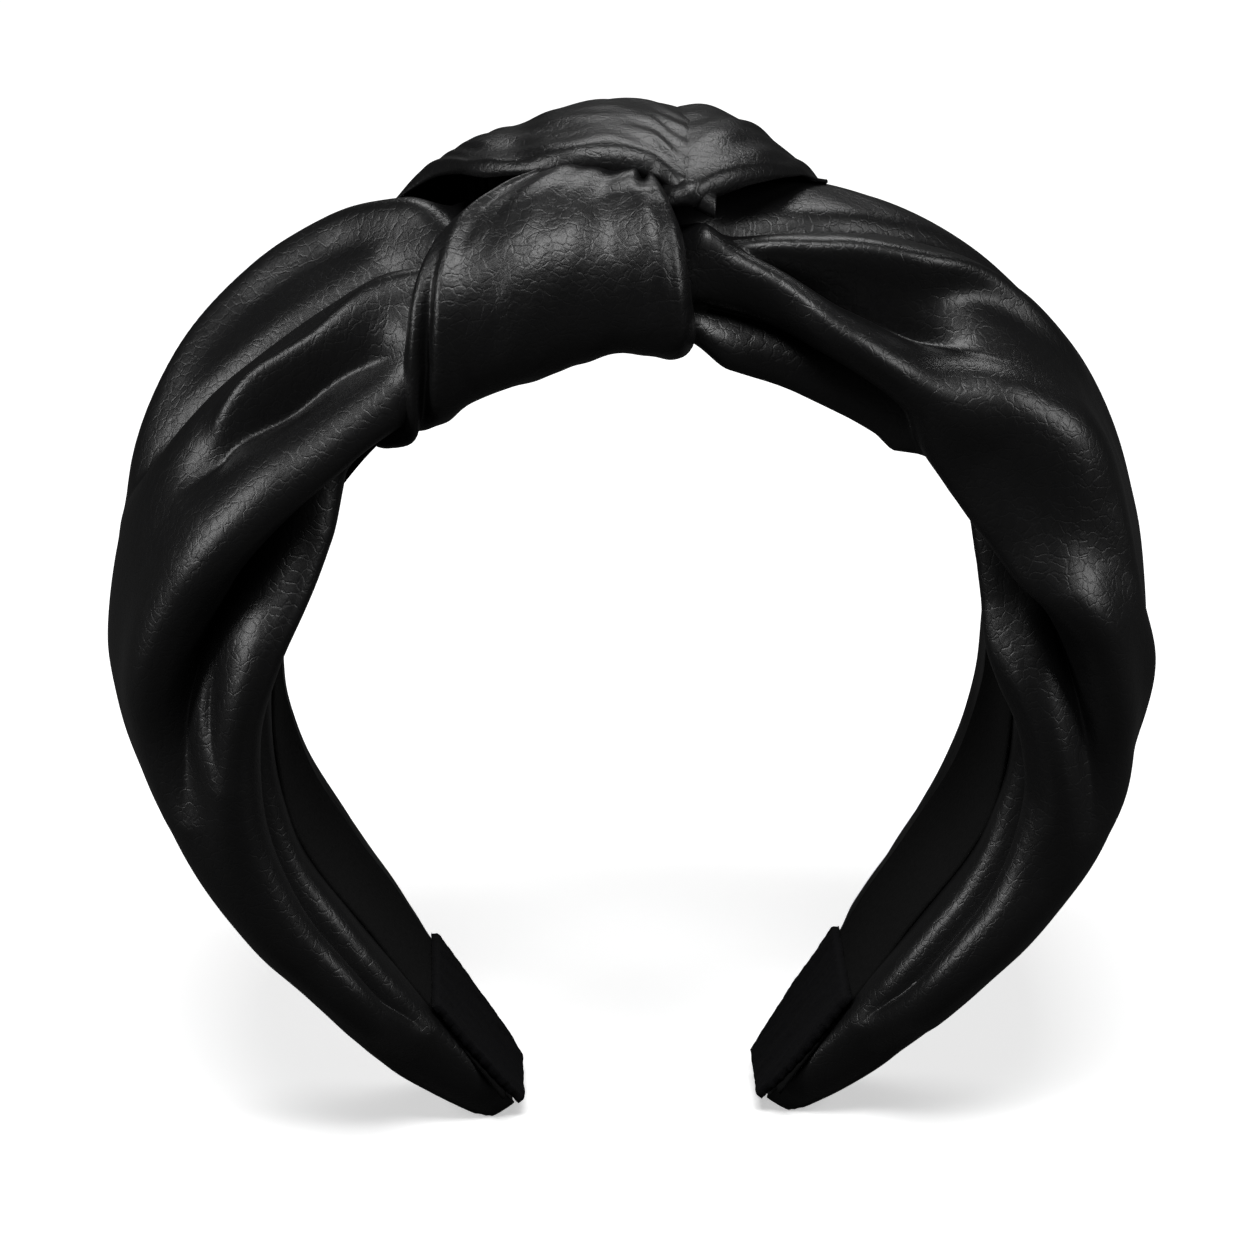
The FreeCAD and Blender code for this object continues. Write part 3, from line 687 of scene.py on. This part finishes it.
def bump(material, shader, layers):
    """Chains bump nodes under a shader: (height output, strength, distance in metres)."""
    tree = material.node_tree
    last = None
    for height, strength, distance in layers:
        node = tree.nodes.new("ShaderNodeBump")
        node.inputs["Strength"].default_value = strength
        node.inputs["Distance"].default_value = distance
        tree.links.new(height, node.inputs["Height"])
        if last:
            tree.links.new(last.outputs["Normal"], node.inputs["Normal"])
        last = node
    tree.links.new(last.outputs["Normal"], shader.inputs["Normal"])


def warped_position(tree, scale, warp):
    """Object coordinates, pushed about by noise so that patterns in them curl."""
    coordinates = tree.nodes.new("ShaderNodeTexCoord")
    wander = tree.nodes.new("ShaderNodeTexNoise")
    wander.inputs["Scale"].default_value = scale
    tree.links.new(coordinates.outputs["Object"], wander.inputs["Vector"])
    mix = tree.nodes.new("ShaderNodeMix")
    mix.data_type = "VECTOR"
    mix.inputs["Factor"].default_value = warp
    tree.links.new(coordinates.outputs["Object"], mix.inputs["A"])
    tree.links.new(wander.outputs["Color"], mix.inputs["B"])
    return mix.outputs["Result"]


def satin_material():
    """Black satin: a soft sheen over a net of fine curling creases."""
    material, shader = new_material("black_satin", (0.004, 0.004, 0.0042), 0.34)
    shader.inputs["Specular IOR Level"].default_value = 0.5
    tree = material.node_tree
    place = warped_position(tree, 420, 0.0022)
    creases = tree.nodes.new("ShaderNodeTexVoronoi")
    creases.feature = "DISTANCE_TO_EDGE"
    creases.inputs["Scale"].default_value = 520
    tree.links.new(place, creases.inputs["Vector"])
    narrow = tree.nodes.new("ShaderNodeMapRange")
    narrow.inputs["From Max"].default_value = 0.10
    tree.links.new(creases.outputs["Distance"], narrow.inputs["Value"])
    patchy = tree.nodes.new("ShaderNodeTexNoise")
    patchy.inputs["Scale"].default_value = 55
    patchy.inputs["Detail"].default_value = 3
    rough = tree.nodes.new("ShaderNodeMapRange")
    rough.inputs["To Min"].default_value = 0.32
    rough.inputs["To Max"].default_value = 0.41
    tree.links.new(patchy.outputs["Fac"], rough.inputs["Value"])
    tree.links.new(rough.outputs["Result"], shader.inputs["Roughness"])
    weave = tree.nodes.new("ShaderNodeTexNoise")
    weave.inputs["Scale"].default_value = 2600
    weave.inputs["Detail"].default_value = 2
    bump(
        material,
        shader,
        [
            (patchy.outputs["Fac"], 0.10, 0.0008),
            (narrow.outputs["Result"], 0.28, 0.00010),
            (weave.outputs["Fac"], 0.20, 0.00004),
        ],
    )
    return material


def felt_material(name, colour, scale):
    """Matte black felt or ribbon, with a fine nap."""
    material, shader = new_material(name, colour, 0.92)
    shader.inputs["Specular IOR Level"].default_value = 0.08
    tree = material.node_tree
    nap = tree.nodes.new("ShaderNodeTexNoise")
    nap.inputs["Scale"].default_value = scale
    nap.inputs["Detail"].default_value = 5
    cells = tree.nodes.new("ShaderNodeTexVoronoi")
    cells.inputs["Scale"].default_value = scale * 0.8
    tree.links.new(warped_position(tree, 500, 0.002), cells.inputs["Vector"])
    bump(material, shader, [(cells.outputs["Distance"], 0.5, 0.0003), (nap.outputs["Fac"], 0.5, 0.0002)])
    return material


def plastic_material():
    """The hoop's plain moulded plastic, with faint flow marks."""
    material, shader = new_material("hoop_plastic", (0.03, 0.03, 0.03), 0.5)
    marks = material.node_tree.nodes.new("ShaderNodeTexNoise")
    marks.inputs["Scale"].default_value = 300
    bump(material, shader, [(marks.outputs["Fac"], 0.1, 0.0001)])
    return material


# ---------------------------------------------------------------- studio
AIM = Vector((0, 0, 0.09))
WORLD_LIGHT = 0.012
FLOOR_GLOW = 0.42
# name, place, (width, height), power in watts
SOFT_BOXES = [
    ("overhead", (-0.05, -0.50, 1.10), (0.60, 0.36), 9.0),
    ("left_box", (-1.05, -0.35, 0.60), (0.30, 0.70), 7.0),
    ("right_box", (1.05, -0.35, 0.66), (0.30, 0.60), 5.5),
    ("behind", (0.1, 0.80, 0.95), (0.8, 0.3), 4.5),
]
LENS, SENSOR = 135.36, 36
ELEVATION, AZIMUTH = math.radians(23), math.radians(-2.29)
CAMERA_DISTANCE = 0.8
TARGET_BELOW_TOP = 57.9
TARGET_X = -0.0002


def studio():
    """A pale floor, soft boxes and a world that is white to the camera and dim on the satin."""
    bpy.ops.mesh.primitive_plane_add(size=6, location=(0, 0, -0.0003))
    floor = bpy.context.object
    floor.name = "floor"
    material, shader = new_material("floor", (0.93, 0.93, 0.93), 0.9)
    shader.inputs["Specular IOR Level"].default_value = 0.0
    white_to_camera(material.node_tree, shader)
    floor.data.materials.append(material)
    world = bpy.data.worlds.new("studio")
    bpy.context.scene.world = world
    world.use_nodes = True
    tree = world.node_tree
    background = tree.nodes["Background"]
    path = tree.nodes.new("ShaderNodeLightPath")
    mix = tree.nodes.new("ShaderNodeMix")
    mix.inputs["A"].default_value = WORLD_LIGHT
    mix.inputs["B"].default_value = 1.0
    tree.links.new(path.outputs["Is Camera Ray"], mix.inputs["Factor"])
    tree.links.new(mix.outputs["Result"], background.inputs["Strength"])
    background.inputs["Color"].default_value = (1, 1, 1, 1)
    for name, place, size, power in SOFT_BOXES:
        light = bpy.data.lights.new(name, "AREA")
        light.shape = "RECTANGLE"
        light.size, light.size_y = size
        light.energy = power
        made = bpy.data.objects.new(name, light)
        made.location = place
        aim = made.location - AIM
        made.rotation_euler = aim.to_track_quat("Z", "Y").to_euler()
        bpy.context.scene.collection.objects.link(made)


def white_to_camera(tree, shader):
    """Lightens the floor for the camera alone and keeps its shadow; to the satin it stays dark."""
    output = tree.nodes["Material Output"]
    path = tree.nodes.new("ShaderNodeLightPath")
    glow = tree.nodes.new("ShaderNodeEmission")
    glow.inputs["Color"].default_value = (1, 1, 1, 1)
    glow.inputs["Strength"].default_value = FLOOR_GLOW
    add = tree.nodes.new("ShaderNodeAddShader")
    mix = tree.nodes.new("ShaderNodeMixShader")
    tree.links.new(shader.outputs[0], add.inputs[0])
    tree.links.new(glow.outputs[0], add.inputs[1])
    dim = tree.nodes.new("ShaderNodeBsdfDiffuse")
    dim.inputs["Color"].default_value = (0.04, 0.04, 0.04, 1)
    tree.links.new(path.outputs["Is Camera Ray"], mix.inputs["Fac"])
    tree.links.new(dim.outputs[0], mix.inputs[1])
    tree.links.new(add.outputs[0], mix.inputs[2])
    tree.links.new(mix.outputs[0], output.inputs["Surface"])


def camera():
    """The main view: from above level, nearly straight on."""
    data = bpy.data.cameras.new("camera")
    data.lens = LENS
    data.sensor_width = SENSOR
    made = bpy.data.objects.new("camera", data)
    back = Vector(
        (
            math.sin(AZIMUTH) * math.cos(ELEVATION),
            -math.cos(AZIMUTH) * math.cos(ELEVATION),
            math.sin(ELEVATION),
        )
    )
    target = Vector((TARGET_X, 0, (CENTRE[1] + CROWN_RADIUS - TARGET_BELOW_TOP) * MM))
    made.location = target + back * CAMERA_DISTANCE
    made.rotation_euler = back.to_track_quat("Z", "Y").to_euler()
    bpy.context.scene.collection.objects.link(made)
    bpy.context.scene.camera = made


# ---------------------------------------------------------------- the whole headband
def main():
    bpy.context.scene.view_settings.view_transform = "Standard"
    satin = satin_material()
    sleeve(-1, 22.0, LEFT_FOLDS, satin, 3)
    sleeve(1, 3.5, RIGHT_FOLDS, satin, 5)
    knot_core(satin)
    knot_front(satin)
    knot_lobe(
        "knot_back",
        -32.0,
        8.0,
        BACK_LOBE_EDGE,
        BACK_LOBE_RISE,
        13,
        satin,
        ["knot_back_loop"],
        BACK_LOBE_GROOVES,
    )
    knot_lobe(
        "knot_right",
        2.0,
        23.0,
        RIGHT_LOBE_EDGE,
        RIGHT_LOBE_RISE,
        17,
        satin,
        ["knot_back_loop"],
    )
    lining = felt_material("lining_ribbon", (0.0045, 0.0045, 0.0045), 900)
    felt = felt_material("tab_felt", (0.004, 0.004, 0.0045), 1200)
    for side in (-1, 1):
        ribbon(side, lining)
        tip_tab(side, felt)
    plastic = plastic_material()
    for name in ("hoop_crown", "hoop_left", "hoop_right"):
        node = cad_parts[name]
        node.data.materials.clear()
        node.data.materials.append(plastic)
    studio()
    camera()


main()
